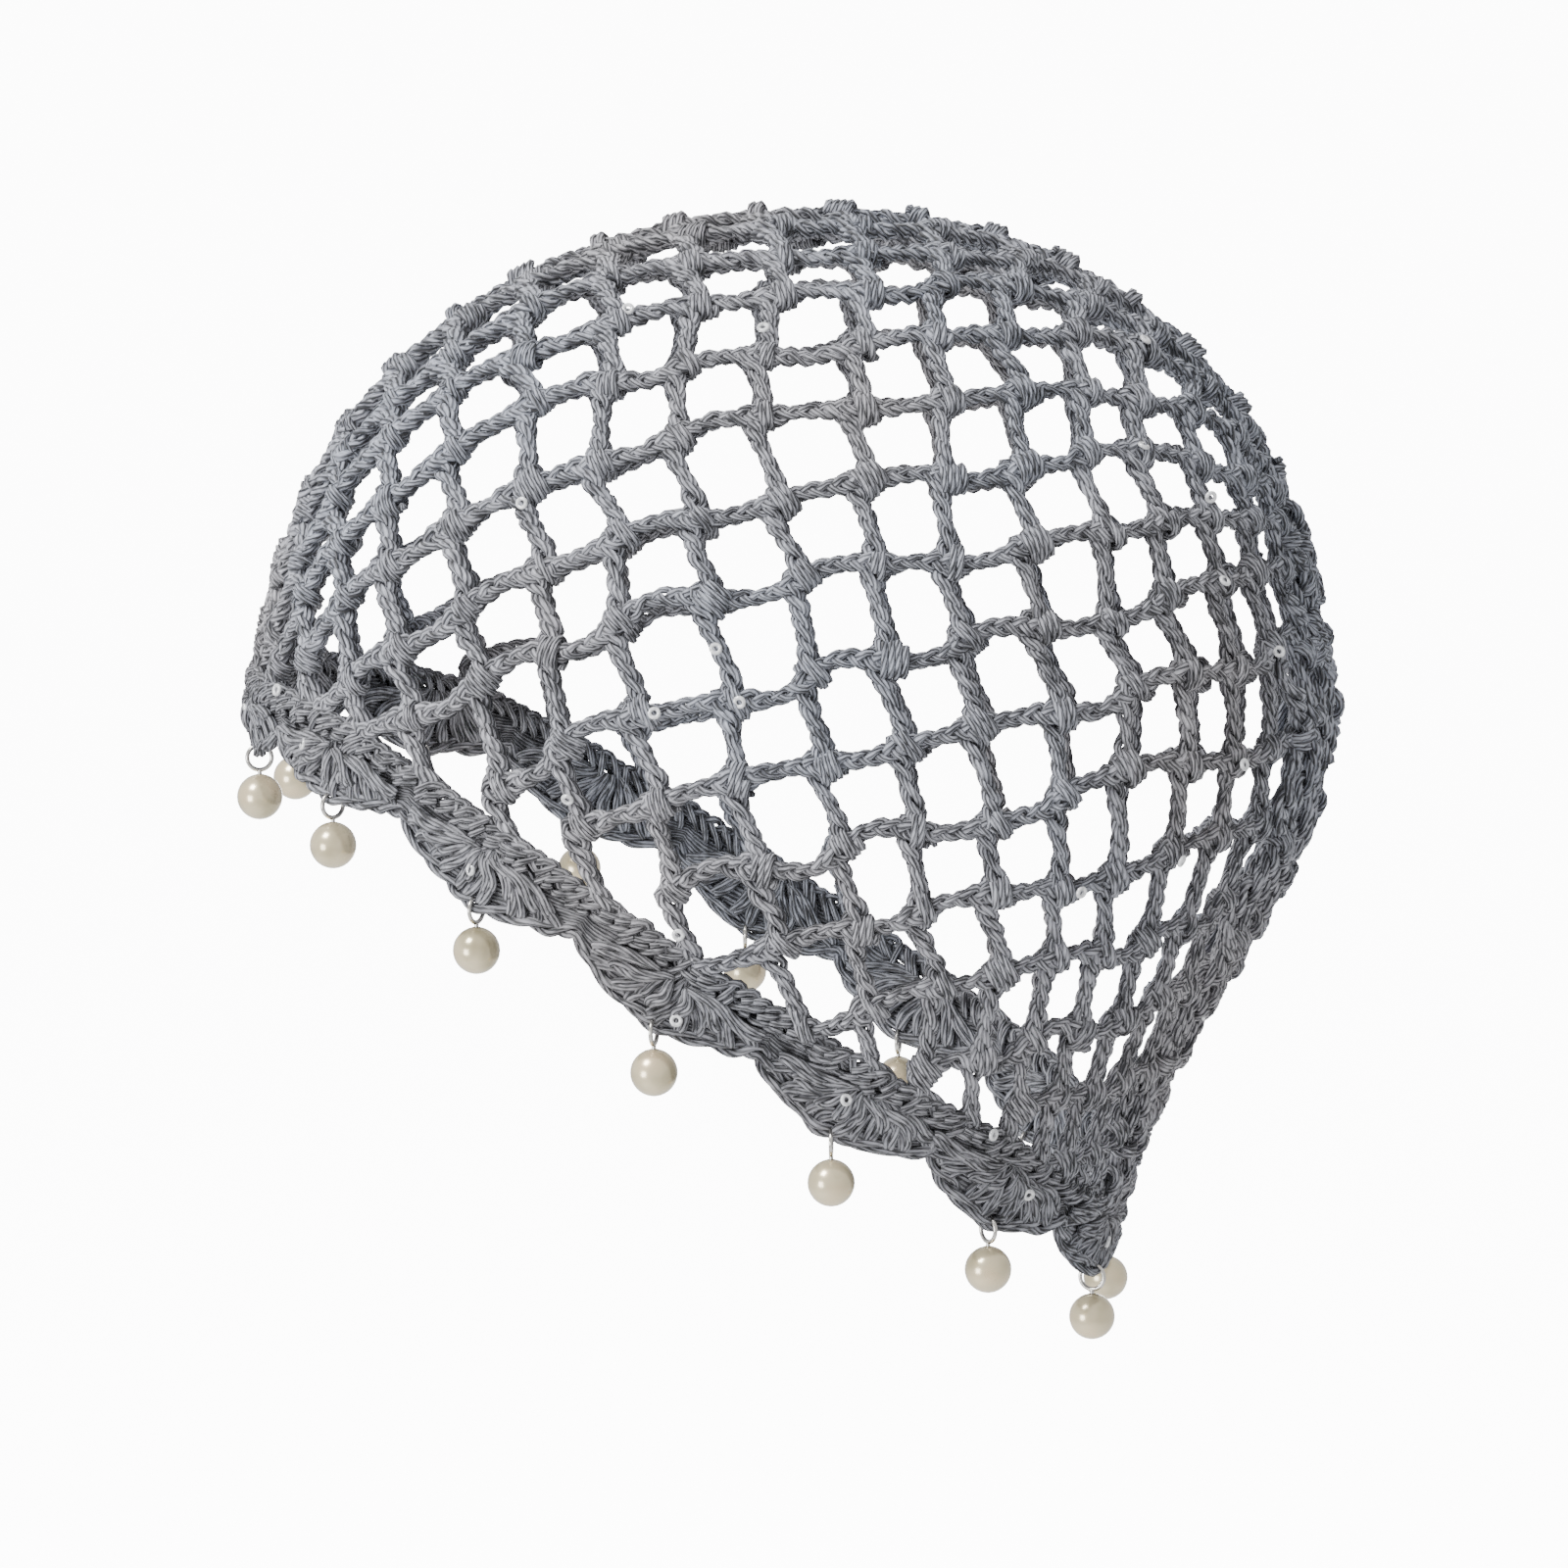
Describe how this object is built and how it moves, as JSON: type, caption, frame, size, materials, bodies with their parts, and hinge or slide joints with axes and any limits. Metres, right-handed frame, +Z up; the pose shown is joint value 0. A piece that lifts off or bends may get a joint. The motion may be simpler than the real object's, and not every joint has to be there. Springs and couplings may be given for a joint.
{
  "type": "openwork crocheted cap with pearl drops",
  "caption": "Close-fitting head cap of open crocheted net that runs low behind the ears to the nape, edged with scalloped shell stitches that each carry a pearl drop on a wire loop",
  "frame": {"origin": "the highest point of the crown's inner face, where the cap sits on the top of a head", "axes": "+Z up, -Y to the front of the cap, +X to the wearer's left"},
  "size_m": [0.1556, 0.1909, 0.1962],
  "materials": {
    "yarn": "matt blue-grey marled cotton yarn, crocheted",
    "pearl": "cream pearl coating, glossy",
    "wire": "bright silver-coloured wire"
  },
  "bodies": {
    "root": {"net_crown": "yarn", "shell_border": "yarn", "pearl_01": "pearl", "pearl_02": "pearl", "pearl_03": "pearl", "pearl_04": "pearl", "pearl_05": "pearl", "pearl_06": "pearl", "pearl_07": "pearl", "pearl_08": "pearl", "pearl_09": "pearl", "pearl_10": "pearl", "pearl_11": "pearl", "pearl_12": "pearl", "pearl_13": "pearl", "pearl_14": "pearl", "wire_loop_01": "wire", "wire_loop_02": "wire", "wire_loop_03": "wire", "wire_loop_04": "wire", "wire_loop_05": "wire", "wire_loop_06": "wire", "wire_loop_07": "wire", "wire_loop_08": "wire", "wire_loop_09": "wire", "wire_loop_10": "wire", "wire_loop_11": "wire", "wire_loop_12": "wire", "wire_loop_13": "wire", "wire_loop_14": "wire"}
  },
  "joints": []
}
